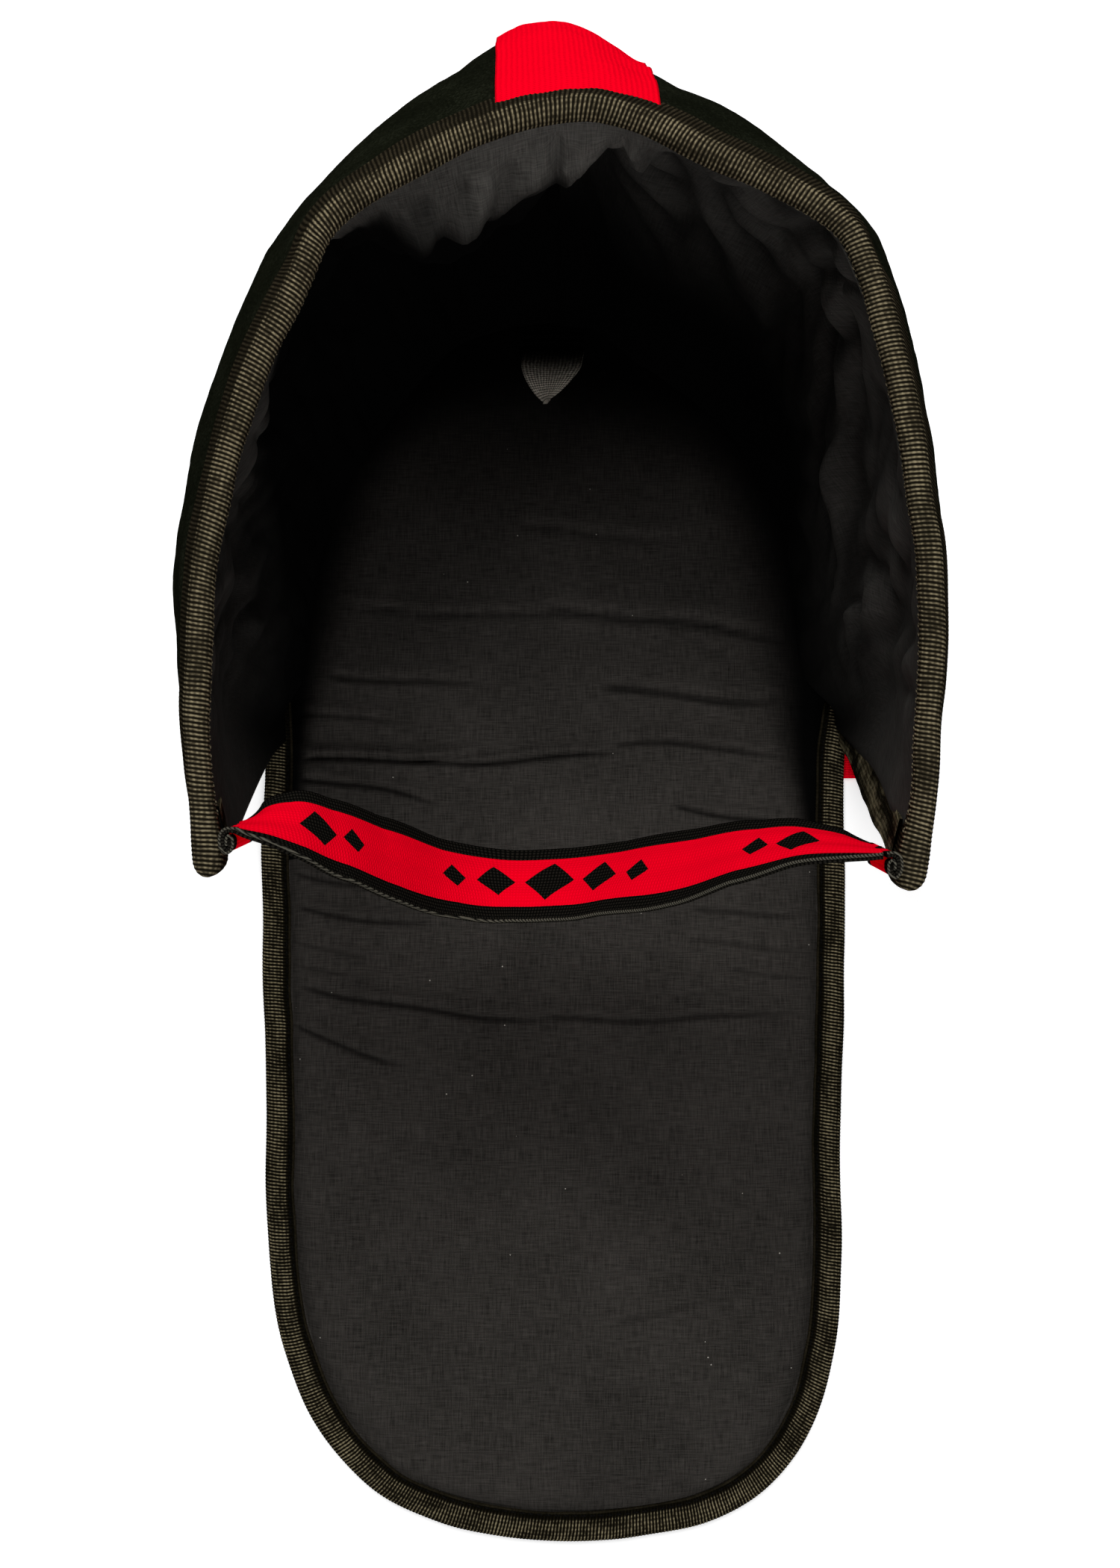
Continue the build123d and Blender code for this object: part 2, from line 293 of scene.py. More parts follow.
def wovenCotton(name, dark, light, contrast, specks):
    # plain-woven cotton: matt, two thread directions, uneven slubs, a few specks of lint; over that a
    # per-vertex factor paints light and shade, black deep inside the hood and in the creases
    material, tree = newMaterial(name)
    place = addNode(tree, "TexCoord")
    thread = 0.5  # mm, coarser than real so that it shows
    streaks = []
    for scale in ((0.12, 1 / thread, 1), (1 / thread, 0.12, 1)):  # slubs about 8 mm long
        laid = addNode(tree, "Mapping", {"Vector": (place, "UV"), "Scale": scale})
        streaks.append(addNode(tree, "TexNoise", {"Vector": laid, "Scale": 1, "Detail": 3, "Roughness": 0.6}))
    threads = addNode(tree, "Math", {0: streaks[0], 1: streaks[1]}, operation="ADD")
    shade = addNode(tree, "MapRange", {"Value": threads, "From Min": 0.7, "From Max": 1.3,
                                       "To Min": 0.5 - contrast, "To Max": 0.5 + contrast})
    wide = addNode(tree, "Mapping", {"Vector": (place, "UV"), "Scale": (0.02, 0.02, 1)})  # about 50 mm
    patches = addNode(tree, "TexNoise", {"Vector": wide, "Scale": 1, "Detail": 4})
    wear = addNode(tree, "MapRange", {"Value": patches, "From Min": 0.3, "From Max": 0.7,
                                      "To Min": -0.13, "To Max": 0.13})
    total = addNode(tree, "Math", {0: shade, 1: wear}, operation="ADD", use_clamp=True)
    dyed = addNode(tree, "Mix", {"Factor": total, 6: hexColour(dark), 7: hexColour(light)}, data_type="RGBA")
    apart = addNode(tree, "Mapping", {"Vector": (place, "UV"), "Scale": (0.09, 0.09, 1)})  # 11 mm apart
    lint = addNode(tree, "TexVoronoi", {"Vector": apart, "Scale": 1, "Randomness": 1})
    speck = addNode(tree, "Math", {0: lint, 1: specks}, operation="LESS_THAN")
    linty = addNode(tree, "Mix", {"Factor": speck, 6: (dyed, 2), 7: hexColour("#9a968e")}, data_type="RGBA")
    # painted light and shade: the colour is mixed up from black by the per-vertex factor
    paintedShading = addNode(tree, "Attribute", attribute_name="paintedShading")
    colour = addNode(tree, "Mix", {"Factor": (paintedShading, "Fac"), 6: hexColour("#020202"), 7: (linty, 2)},
                     data_type="RGBA")
    waves = [addNode(tree, "TexWave", {"Vector": (place, "UV"), "Scale": waveScale / thread,
                                       "Distortion": 0.4}, bands_direction=way) for way in "XY"]
    cross = addNode(tree, "Math", {0: (waves[0], "Fac"), 1: (waves[1], "Fac")}, operation="MULTIPLY")
    height = addNode(tree, "Math", {0: cross, 1: threads}, operation="ADD")
    relief = addNode(tree, "Bump", {"Height": height, "Strength": 0.3, "Distance": 0.00025})
    return finishMaterial(material, 0.9, (colour, 2), relief, specular=0.02)


tape = {"pitch": 1.3, "columns": 1.6, "slant": 7, "rib": 0.1, "thick": 0.9}

# colours of each tape's grooves, ribs and crests, the grooves darkened as painted shade and the crests
# lightened as painted highlight; then in millimetres across it the middle of the fold, the reach of the
# rubbed ribs on each side and the plain selvedge; then how much of the ribs shows on its legs, which also
# paints shade on the legs
rimTapeLook = ("#110f0a", "#383226", "#887d63", 17.5, 7.2, 0.0, 0.4)
padTapeLook = ("#080704", "#262219", "#877d62", 8.7, 5.5, 1.3, 0.16)
hemTapeLook = ("#0a0906", "#2a261b", "#7f765c", 14.0, 30.0, 0.0, 0.5)


def grosgrain(name, look):
    # ribbed polyester tape, quite matt: slightly slanting ribs over the fold, broken into columns by the
    # weave, with painted shade in the grooves and on the flat legs and painted highlight on the crests,
    # rubbed in places
    groove, rib, crest, middle, reach, selvedge, legs = look
    material, tree = newMaterial(name)
    place = addNode(tree, "TexCoord")
    wobble = addNode(tree, "TexNoise", {"Vector": (place, "UV"), "Scale": 0.12, "Detail": 1})
    centred = addNode(tree, "VectorMath", {0: (wobble, "Color"), 1: (0.5, 0.5, 0.5)}, operation="SUBTRACT")
    small = addNode(tree, "VectorMath", {0: centred, "Scale": 0.8}, operation="SCALE")
    laid = addNode(tree, "VectorMath", {0: (place, "UV"), 1: small}, operation="ADD")
    slant = addNode(tree, "Mapping", {"Vector": laid, "Rotation": (0, 0, radians(tape["slant"]))})
    ribs = addNode(tree, "TexWave", {"Vector": slant, "Scale": waveScale / tape["pitch"]},
                   bands_direction="X")
    rows = addNode(tree, "TexWave", {"Vector": laid, "Scale": waveScale / tape["columns"]},
                   bands_direction="Y")
    beads = addNode(tree, "MapRange", {"Value": (rows, "Fac"), "To Min": 0.66, "To Max": 1.0})
    ridge = addNode(tree, "Math", {0: (ribs, "Fac"), 1: beads}, operation="MULTIPLY")
    across = addNode(tree, "SeparateXYZ", {"Vector": (place, "UV")})
    offset = addNode(tree, "Math", {0: (across, "Y"), 1: middle}, operation="SUBTRACT")
    away = addNode(tree, "Math", {0: offset}, operation="ABSOLUTE")
    leg = addNode(tree, "MapRange", {"Value": away, "From Min": reach - 1.2, "From Max": reach + 0.6},
                  interpolation_type="SMOOTHSTEP")
    flat = addNode(tree, "Math", {0: ridge, 1: legs}, operation="MULTIPLY")
    weave = addNode(tree, "Mix", {"Factor": leg, 2: ridge, 3: flat})
    edge = addNode(tree, "MapRange", {"Value": (across, "Y"), "From Min": selvedge + 0.15,
                                      "From Max": selvedge - 0.15}, interpolation_type="SMOOTHSTEP")
    plain = addNode(tree, "Mix", {"Factor": edge, 2: weave, 3: 0.3})
    split = addNode(tree, "Mapping", {"Vector": (place, "UV"), "Scale": (0.9, 0.5, 1)})  # fibres 1 to 2 mm
    strands = addNode(tree, "TexNoise", {"Vector": split, "Scale": 1, "Detail": 3, "Roughness": 0.65})
    long = addNode(tree, "Mapping", {"Vector": (place, "UV"), "Scale": (0.07, 0.2, 1)})  # 14 mm long
    worn = addNode(tree, "TexNoise", {"Vector": long, "Scale": 1, "Detail": 3})
    rubbed = addNode(tree, "MapRange", {"Value": worn, "From Min": 0.3, "From Max": 0.7,
                                        "To Min": 1.1, "To Max": 2.3})
    fibres = addNode(tree, "Math", {0: strands, 1: rubbed}, operation="MULTIPLY")
    level = addNode(tree, "Math", {0: plain, 1: fibres}, operation="MULTIPLY")
    # painted shade in the grooves and on the legs, painted highlight on the crests
    ramp = addNode(tree, "ValToRGB", {"Fac": level}, stops=[(0.06, groove), (0.42, rib), (0.95, crest)])
    relief = addNode(tree, "Bump", {"Height": level, "Strength": 0.8, "Distance": 0.0005})
    return finishMaterial(material, 0.8, ramp, relief)


def webbing(name, dark, light, pitch, strength, paintedRootShade=False):
    # flat woven polyester: threads show as fine rows; with painted shade it is painted black towards its
    # root, where the hood shades it
    material, tree = newMaterial(name)
    place = addNode(tree, "TexCoord")
    across, along = (addNode(tree, "TexWave", {"Vector": (place, "UV"), "Scale": waveScale / size,
                                               "Distortion": 1.0, "Detail": 1}, bands_direction=way)
                     for way, size in (("X", pitch), ("Y", pitch * 0.6)))
    weave = addNode(tree, "Math", {0: (across, "Fac"), 1: (along, "Fac")}, operation="ADD")
    fuzz = addNode(tree, "TexNoise", {"Vector": (place, "UV"), "Scale": 0.7, "Detail": 4})
    fuzzy = addNode(tree, "Math", {0: weave, 1: fuzz}, operation="MULTIPLY")
    colour = addNode(tree, "Mix", {"Factor": fuzzy, 6: hexColour(dark), 7: hexColour(light)},
                     data_type="RGBA")
    if paintedRootShade:
        # painted shade: black towards the root, by place along Y
        where = addNode(tree, "SeparateXYZ", {"Vector": (place, "Object")})
        clearOfRootShade = addNode(tree, "MapRange", {"Value": (where, "Y"), "From Min": 0.183, "From Max": 0.160},
                        interpolation_type="SMOOTHSTEP")
        colour = addNode(tree, "Mix", {"Factor": clearOfRootShade, 6: hexColour("#040404"), 7: (colour, 2)},
                         data_type="RGBA")
    relief = addNode(tree, "Bump", {"Height": fuzzy, "Strength": strength, "Distance": 0.0005})
    return finishMaterial(material, 0.9, (colour, 2), relief)


strapLook = {
    "fieldMiddle": 16.0,      # the red field, across the strap
    "fieldHalf": 10.9,
    # place along the strap and reach of each lozenge
    "lozenges": ((-92, 7), (-78, 4.5), (-33, 4.5), (-18, 6.5), (0, 8.5), (18, 6.5), (33, 4.5), (78, 4.5),
                 (92, 7)),
}


def elasticWeave():
    # woven elastic: red field, black selvedges, black lozenges, fine ribs; V of the UV is across it
    material, tree = newMaterial("red_elastic")
    place = addNode(tree, "TexCoord")
    split = addNode(tree, "SeparateXYZ", {"Vector": (place, "UV")})
    ribs, rows = (addNode(tree, "TexWave", {"Vector": (place, "UV"), "Scale": waveScale / pitch,
                                            "Distortion": 0.6, "Detail": 1}, bands_direction=way)
                  for way, pitch in (("X", 1.1), ("Y", 1.3)))
    offset = addNode(tree, "Math", {0: (split, "Y"), 1: strapLook["fieldMiddle"]}, operation="SUBTRACT")
    away = addNode(tree, "Math", {0: offset}, operation="ABSOLUTE")
    black = addNode(tree, "Math", {0: away, 1: strapLook["fieldHalf"]}, operation="GREATER_THAN")
    for centre, reach in strapLook["lozenges"]:
        run = addNode(tree, "Math", {0: (split, "X"), 1: float(centre)}, operation="SUBTRACT")
        size = addNode(tree, "Math", {0: run}, operation="ABSOLUTE")
        total = addNode(tree, "Math", {0: size, 1: away}, operation="ADD")
        inside = addNode(tree, "Math", {0: total, 1: float(reach)}, operation="LESS_THAN")
        black = addNode(tree, "Math", {0: black, 1: inside}, operation="MAXIMUM")
    weave = addNode(tree, "Math", {0: (ribs, "Fac"), 1: (rows, "Fac")}, operation="MULTIPLY")
    red = addNode(tree, "ValToRGB", {"Fac": weave}, stops=[(0.0, "#ee001c"), (0.5, "#ff0024")])
    dark = addNode(tree, "ValToRGB", {"Fac": weave}, stops=[(0.0, "#060605"), (0.7, "#211f1b")])
    colour = addNode(tree, "Mix", {"Factor": black, 6: red, 7: dark}, data_type="RGBA")
    relief = addNode(tree, "Bump", {"Height": weave, "Strength": 0.5, "Distance": 0.0004})
    return finishMaterial(material, 0.9, (colour, 2), relief)


def sewingThread(name, shade):
    # spun polyester thread: a soft twist along each stitch
    material, tree = newMaterial(name)
    place = addNode(tree, "TexCoord")
    twist = addNode(tree, "TexWave", {"Vector": (place, "Object"), "Scale": 500, "Distortion": 2.0},
                    bands_direction="DIAGONAL")
    ramp = addNode(tree, "ValToRGB", {"Fac": (twist, "Fac")}, stops=[(0.0, "#080808"), (1.0, shade)])
    return finishMaterial(material, 0.8, ramp)


suedeBlack = suede()
padCotton = wovenCotton("charcoal_cotton", "#171614", "#3b3835", 0.42, 0.024)
liningCotton = wovenCotton("lining_cotton", "#2d2c2a", "#605e5a", 0.38, 0.016)
rimTape = grosgrain("rim_grosgrain", rimTapeLook)
padTape = grosgrain("pad_grosgrain", padTapeLook)
hemTape = grosgrain("hem_grosgrain", hemTapeLook)
redWebbing = webbing("red_webbing", "#d80019", "#ff001f", 1.6, 0.6)
# the pale colour on the black webbing's thread rows is a painted highlight
blackWebbing = webbing("black_webbing", "#0e0d0c", "#c4bcae", 1.5, 0.9, paintedRootShade=True)
redElastic = elasticWeave()
darkThread = sewingThread("dark_thread", "#12110f")
paleThread = sewingThread("pale_thread", "#766d58")
greyCord = sewingThread("grey_edge_cord", "#57544a")
print("materials made")


# camera, light and floor

view = {
    "tilt": 7.0,              # degrees off straight down, from the flap's side
    "reach": 661.0,           # from the lens to the pad's face
    "level": 14.0,            # height of the pad's face
    "lens": 37.8,             # focal length on a sensor 36 mm wide
}


def makeCamera():
    camera = bpy.data.objects.new("camera", bpy.data.cameras.new("camera"))
    bpy.context.scene.collection.objects.link(camera)
    tilt = radians(view["tilt"])
    camera.location = (0, -view["reach"] * sin(tilt) * mm, (view["level"] + view["reach"] * cos(tilt)) * mm)
    camera.rotation_euler = (tilt, 0, 0)
    camera.data.lens = view["lens"]
    camera.data.sensor_width = 36
    camera.data.clip_start = 0.01
    bpy.context.scene.camera = camera


light = {
    "sky": 0.12,                              # strength of the white room where it lights the scene
    "aim": (0.0, 0.0, 0.05),
    "key": ((-0.1, 0.6, 1.3), 17.0, 0.7),     # place in metres, watts, size
    "front": ((0.2, -1.3, 0.9), 10.0, 0.5),
}


def addLamp(name):
    place, power, size = light[name]
    lamp = bpy.data.lights.new(name, "AREA")
    lamp.energy = power
    lamp.size = size
    item = bpy.data.objects.new(name, lamp)
    item.location = place
    item.rotation_euler = (Vector(light["aim"]) - Vector(place)).to_track_quat("-Z", "Y").to_euler()
    bpy.context.scene.collection.objects.link(item)


def lookedAt(tree):
    # 1 where a camera, glossy or transmission ray looks, 0 where the light of the scene is gathered
    path = addNode(tree, "LightPath")
    seen = addNode(tree, "Math", {0: (path, "Is Camera Ray"), 1: (path, "Is Glossy Ray")},
                   operation="MAXIMUM")
    return addNode(tree, "Math", {0: seen, 1: (path, "Is Transmission Ray")}, operation="MAXIMUM")


def makeLight():
    world = bpy.data.worlds.new("studio")
    world.use_nodes = True
    tree = world.node_tree
    tree.nodes.clear()
    level = addNode(tree, "MapRange", {"Value": lookedAt(tree), "To Min": light["sky"], "To Max": 1.0})
    sky = addNode(tree, "Background", {"Color": (1, 1, 1, 1), "Strength": level})
    addNode(tree, "OutputWorld", {"Surface": sky})
    bpy.context.scene.world = world
    addLamp("key")
    addLamp("front")
    bpy.context.scene.view_settings.view_transform = "Standard"


def makeFloor():
    deselectAll()
    bpy.ops.mesh.primitive_plane_add(size=6, location=(0, 0, -0.0005))
    floor = bpy.context.object
    floor.name = "floor"
    # matt white paper; it is lifted to a clear white where it is looked at, and keeps the shadow
    material, tree = newMaterial("white_paper")
    where = addNode(tree, "TexCoord")
    far = addNode(tree, "VectorMath", {0: (where, "Object")}, operation="LENGTH")
    paper = addNode(tree, "MapRange", {"Value": (far, "Value"), "From Min": 0.4, "From Max": 1.2,
                                       "To Min": 0.42, "To Max": 1.0})
    lift = addNode(tree, "Math", {0: lookedAt(tree), 1: paper}, operation="MULTIPLY")
    surface = addNode(tree, "BsdfPrincipled", {
        "Base Color": (0.9, 0.9, 0.9, 1), "Roughness": 0.9, "Specular IOR Level": 0.1,
        "Emission Color": (1, 1, 1, 1), "Emission Strength": lift})
    addNode(tree, "OutputMaterial", {"Surface": surface})
    floor.data.materials.append(material)


makeCamera()
makeLight()
makeFloor()
print("camera, light and floor made")


# the hood's form: three outlines, for the foot, the fullest level and the mouth

hood = {
    "rimHeight": 207.5,
    "rimTilt": 7.0,
    "bellyShare": 0.48,       # height of its fullest level, as a share of the rim's
    "lowerRound": 2.5,
    "upperRound": 1.8,
    "hemFoot": 20.0,          # where the front edges start, along the hood
    "footFront": 121.0,       # and how far out
    "wall": 8.9,              # suede, padding and lining together
    "rimWall": 4.6,
    "inside": (0, 70, 100),   # a place inside it, to tell in from out
}


def mirrored(points):
    return [(-x, y) for x, y in reversed(points)]


# each from the right front edge over the crown to the left front edge
footSide = [(121, 20), (121.5, 42), (120.5, 60), (116.5, 94), (106, 126), (88, 156), (69.5, 175), (40, 193)]
footOutline = footSide + [(0, 200)] + mirrored(footSide)
bellyOutline = [
    (111, -13), (122.5, 20), (129, 50), (125.5, 97), (117, 143), (101, 182), (77, 201), (39.5, 225.5),
    (0, 244),
    (-43, 226), (-74, 198), (-96.5, 174.5), (-111.5, 140), (-125, 97), (-130, 56), (-124, 20), (-111, -13),
]
rimOutline = [
    (102.8, -50), (106.8, -18), (108, 25), (104.8, 57), (98.8, 92), (90.5, 121), (82.5, 137), (48, 156),
    (6, 171),
    (-42, 155), (-68, 137), (-76.5, 121), (-91.5, 88), (-99.6, 57), (-105, 25), (-105.2, -20), (-103.4, -46),
]
hoodKnots = lengthsAlong(bellyOutline) / lengthsAlong(bellyOutline)[-1]


def hoodGrid(shares, arcs):
    # places on the hood's outer face: a row for each share of its height, a column for each arc
    foot, belly, rim = (np.array(points, float) for points in (footOutline, bellyOutline, rimOutline))
    rows = []
    for share in shares:
        if share < hood["bellyShare"]:
            drop = (hood["bellyShare"] - share) / hood["bellyShare"]
            outline = belly + (foot - belly) * drop ** hood["lowerRound"]
        else:
            rise = (share - hood["bellyShare"]) / (1 - hood["bellyShare"])
            outline = belly + (rim - belly) * rise ** hood["upperRound"]
        for end, side, hollow in ((0, 1, 2.6), (-1, -1, 0.6)):  # the front edges run almost straight up
            front = hood["footFront"] + (abs(rim[end][0]) - hood["footFront"]) * share ** 1.2
            front = front - hollow * sin(pi * share)
            outline[end] = (side * front, hood["hemFoot"] + (rim[end][1] - hood["hemFoot"]) * share)
        tilt = radians(hood["rimTilt"] * share)
        curve = curveThrough(outline, hoodKnots, arcs)
        rows.append(np.stack([curve[:, 0], curve[:, 1] * cos(tilt),
                              hood["rimHeight"] * share + curve[:, 1] * sin(tilt)], axis=1))
    return np.array(rows)


def outwards(grid):
    # unit normals that point away from the hood's inside
    normal = normalsOf(grid)
    return normal if ((grid - np.array(hood["inside"])) * normal).sum() > 0 else -normal


shell = {
    "rows": 120, "columns": 330, "thick": 1.2,
    "from": 0.008, "to": 0.985,                             # shares of the hood's height
    "crown": ((-9, 20, 5.0), (24, 9, -1.5), (30, 5, 1.5)),  # fuller left of the crown, hollow at its right
    "dents": ((40, 3.1, 2.0), (15, 9.7, 0.6), (4, 2.0, 0.22)),
}


def shellSwell(grid):
    # how far the soft shell stands out; it lies flat along its sewn edges
    x, y, z = np.moveaxis(grid, -1, 0)
    crown = ease(y, 120, 200) * hill(z, 130, 60)
    belowRim = 206 + 0.12 * (y + 40) - z
    calm = ease(z, 0, 18) * ease(belowRim, 2, 26) * ease(y + 0.35 * z, 22, 52)
    return crown * hills(x, shell["crown"]) + bumps(grid, shell["dents"]) * calm - 0.5 * (1 - calm)


def hoodUvs(grid):
    # across from the crown, down from the foot
    across = np.array([lengthsAlong(row) - lengthsAlong(row)[-1] / 2 for row in grid])
    down = np.array([lengthsAlong(grid[:, i]) for i in range(grid.shape[1])]).T
    return np.stack([across, down], axis=-1)


def makeShell():
    shares = np.linspace(shell["from"], shell["to"], shell["rows"])
    grid = hoodGrid(shares, np.linspace(0, 1, shell["columns"]))
    grid = grid + outwards(grid) * shellSwell(grid)[..., None]
    piece = clothPiece("outer_shell", grid, hoodUvs(grid), suedeBlack, "hood", shell["thick"],
                       awayFrom=hood["inside"])
    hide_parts("outer_shell_left", "outer_shell_right", "hood_foam_left", "hood_foam_right")


lining = {
    "rows": 120, "columns": 380, "thick": 0.6, "top": 0.985, "low": 0.006,
    # sag off the padding: height as a share, reach, then depth at the right and at the left
    "sag": ((0.38, 0.38, 19.0, 13.0), (0.0, 0.2, 9.0, 6.0)),
    "lumps": ((34, 5.5, 3.2), (13, 1.2, 0.8)),
    # pleats where it turns from the curtain to the sides: place along the rim from the crown, width, height
    "tucks": ((-84, 6, 3.5), (-92, 2.6, -5.5), (90, 2.6, -5.5), (99, 6, 4.0), (108, 2.2, -4.0)),
    "slack": 4.4,
    # the curtain's fullness along the rim, and the gathers beside the crown seam
    "puffs": ((-40, 22, 8.0), (8, 13, -3.0), (50, 25, 3.0)),
    "gathers": ((-9, 2.0, -5.0), (13.5, 2.0, -5.0)),
    # share of the height where the curtain tucks back, and how that share changes along the rim
    "turn": 0.56,
    "turns": ((9, 17, 0.15), (-38, 20, -0.08)),
}


def liningWall(outer, share, inFrom, length, drop, flow, slack):
    # how far it lies inside the suede: it sags off the padding in folds and runs in over the pad
    right = outer[..., 0] > 0
    wall = hood["wall"] + (hood["rimWall"] - hood["wall"]) * np.clip((share - 0.85) / 0.15, 0, 1)
    wall = wall - 3.4 * right * (1 - ease(inFrom, 0.009, 0.019))  # in under the right front edge's tape
    sag = sum(np.where(right, onRight, onLeft) * hill(share, high, reach)
              for high, reach, onRight, onLeft in lining["sag"])
    sag = sag * (0.35 + 0.65 * flow) * ease(outer[..., 1], 0, 60) * ease(inFrom, 0.025, 0.07)
    tucks = hills(length, lining["tucks"]) * ease(drop, 5, 11) * np.exp(-drop / 34)
    upright = np.stack([outer[..., 0] + outer[..., 1], outer[..., 2] * 0.4], -1)
    lumps = bumps(outer, lining["lumps"]) + folds(upright, 19, 6.6) * 2.0
    free = ease(1 - share, 0.02, 0.14) * ease(share, 0.02, 0.12) * ease(inFrom, 0.025, 0.08)
    return wall + sag + tucks + slack * lining["slack"] + np.clip(lumps + 1.4, 0, None) * free


def liningCurtain(rim, length, drop):
    # round the crown it hangs from the rim like a curtain, gathered at the crown seam
    place = np.stack([length, drop], -1)
    puffs = ripple(place * np.array([1, 1.5]), 30, 3.3) * 8.0 + ripple(place, 13, 6.1) * 1.2
    puffs = puffs + hills(length, lining["puffs"])
    bulge = 1.8 * ease(drop, 1, 9) + (3.0 + puffs) * hill(drop, 26, 17)
    pleats = np.cos(2 * pi * length / 15 + 2.6 * ripple(place, 40, 8.1))
    pleats = (pleats + 0.35 * np.cos(2 * pi * length / 5.5 + 3 * ripple(place, 20, 2.6))) * 1.5
    pleats = pleats * np.exp(-drop / 18) * ease(drop, 6, 13)
    cloth = folds(place * np.array([1, 0.45]) + 8 * ripple(place, 45, 7.7)[..., None], 22, 4.9) * 5.0
    cloth = cloth + folds(place * np.array([1, 0.7]), 9, 2.9) * 1.0
    dart = hill(length, 27 + 0.12 * (drop - 30) + 3 * np.sin(drop / 14), 1.1) * ease(drop, 14, 24) * -2.2
    gathers = 4.0 * hill(length, 2, 8.5) * ease(drop, 4, 12) + hills(length, lining["gathers"])
    inward = bulge + pleats + (cloth + dart) * ease(drop, 8, 22)
    inward = inward + gathers * ease(drop, 5, 11) * np.exp(-drop / 30)
    towards = unit(np.array([0.0, 40.0, 0.0])[None, None] - rim * np.array([1, 1, 0]))
    curtain = rim + towards * inward[..., None]
    curtain[..., 2] = rim[..., 2] - drop * 0.94
    return curtain, pleats


def liningPaintedShading(outer, length, drop, pleats, where, creased):
    # painted light and shade: black deep inside, lightest by the rim at the crown, a different level on each
    # side, lighter and darker along the pleats, darker in the crease valleys and lighter on their lobes
    right = outer[..., 0] > 0
    crownward = ease(outer[..., 1], 60, 150)
    crownReach = np.where(right, 165.0, 14.0 + 24.0 * hill(length, -36, 30))
    bottom = np.where(right, 215.0, 190.0) * (1 - crownward) + crownReach * crownward
    paintedShading = ease(-drop, -bottom, -0.1 * bottom) * np.where(right, 0.5, 0.3 + 0.35 * crownward)
    paintedShading = paintedShading + 0.7 * hill(length, -10, 28) * hill(drop, 6, 20) * crownward
    paintedShading = paintedShading * (1 + 0.28 * pleats * crownward)
    return paintedShading * (1 - 0.5 * where * ease(-creased, 0.0, 0.5)) * (1 + 0.3 * where * ease(creased, 0.0, 0.5))


def makeLining():
    shares = np.linspace(lining["low"], lining["top"], lining["rows"])
    arcs = np.linspace(0, 1, lining["columns"])
    outer = hoodGrid(shares, arcs)
    share, arc = np.meshgrid(shares, arcs, indexing="ij")
    inFrom = np.minimum(arc, 1 - arc)  # share of the way round from the nearer front edge
    length = lengthsAlong(outer[-1])
    length = np.broadcast_to(length[-1] / 2 - length, share.shape)  # along the rim from the crown
    drop = (lining["top"] - share) * hood["rimHeight"]
    flow = ease(length, 12, 46) + ease(-length, 58, 104)  # 0 where it hangs as a curtain, 1 down the sides
    # creased folds in the slack cloth of the sides
    creased = folds(np.stack([length * 0.8 - 0.5 * drop, 0.35 * drop + 0.3 * length], -1), 15, 8.4)
    where = ease(drop, 6, 24) * ease(160 - drop, 0, 60) * flow
    where = where * np.where(outer[..., 0] > 0, 1.0, 0.6) * ease(inFrom, 0.03, 0.1)
    inside = liningWall(outer, share, inFrom, length, drop, flow, creased * where)
    grid = outer - outwards(outer) * inside[..., None]
    curtain, pleats = liningCurtain(grid[-1][None], length, drop)
    turn = lining["turn"] + 0.05 * ripple(np.stack([length, length * 0], -1), 24, 1.9)
    turn = turn + hills(length, lining["turns"])
    weight = (ease(share, turn, turn + 0.2) * (1 - flow))[..., None]
    grid = grid * (1 - weight) + curtain * weight
    # painted light and shade for the lining
    paintedShading = liningPaintedShading(outer, length, drop, pleats, where, creased)
    piece = clothPiece("hood_lining", grid, hoodUvs(outer), liningCotton, "hood",
                       lining["thick"], awayFrom=hood["inside"], into=True, paintedShading=paintedShading)
    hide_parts("hood_lining_left", "hood_lining_right")


def tapeAlong(name, line, out, up, section, material, body=None, scale=1.0):
    # tape folded round a line, with ribs across it; its section says for each point how far out and up from
    # the line it lies, and how much of the ribs' height it has
    outs, ups, lift = section
    lengths = lengthsAlong(line)
    rib = tape["rib"] * np.cos(2 * pi * lengths / tape["pitch"])
    turnOut, turnUp = np.gradient(outs), np.gradient(ups)
    size = np.hypot(turnOut, turnUp)
    outs = outs[:, None] + (-turnUp / size * lift)[:, None] * rib[None]
    ups = ups[:, None] + (turnOut / size * lift)[:, None] * rib[None]
    grid = line[None] + out[None] * (outs * scale)[..., None] + up[None] * (ups * scale)[..., None]
    return clothPiece(name, grid, flatUvs(lengths, lengthsAlong(np.stack([outs[:, 0], ups[:, 0]], 1))),
                      material, body)


def uSection(size):
    # up the outer leg, over the fold, down the inner leg, and back close inside
    half, crown, fold, legPoints = size["half"], size["crown"], size["fold"], size["legPoints"]
    turn = np.linspace(0, pi, size["turnPoints"])[1:-1]
    inner = half - tape["thick"]
    leg = np.linspace(-fold, 0, legPoints)
    outs = [np.full(legPoints, half), half * np.cos(turn), np.full(legPoints, -half),
            [-inner, -inner, 0, inner, inner, half]]
    ups = [leg, crown * np.sin(turn), leg[::-1], [-fold, 0, crown - tape["thick"], 0, -fold, -fold]]
    lift = [np.full(legPoints, 0.5), np.ones(len(turn)), np.full(legPoints, 0.5), np.zeros(6)]
    return np.concatenate(outs), np.concatenate(ups), np.concatenate(lift)


rim = {
    "columns": 1700, "legPoints": 8, "turnPoints": 16,
    "fold": 11.7, "half": 3.7, "crown": 3.4,   # depth of its legs, half its thickness, rise of its fold
    "overrun": 4.5,                            # how far it runs on past each corner
    "sewnFrom": 14,                            # where its stitches start, from each end
}


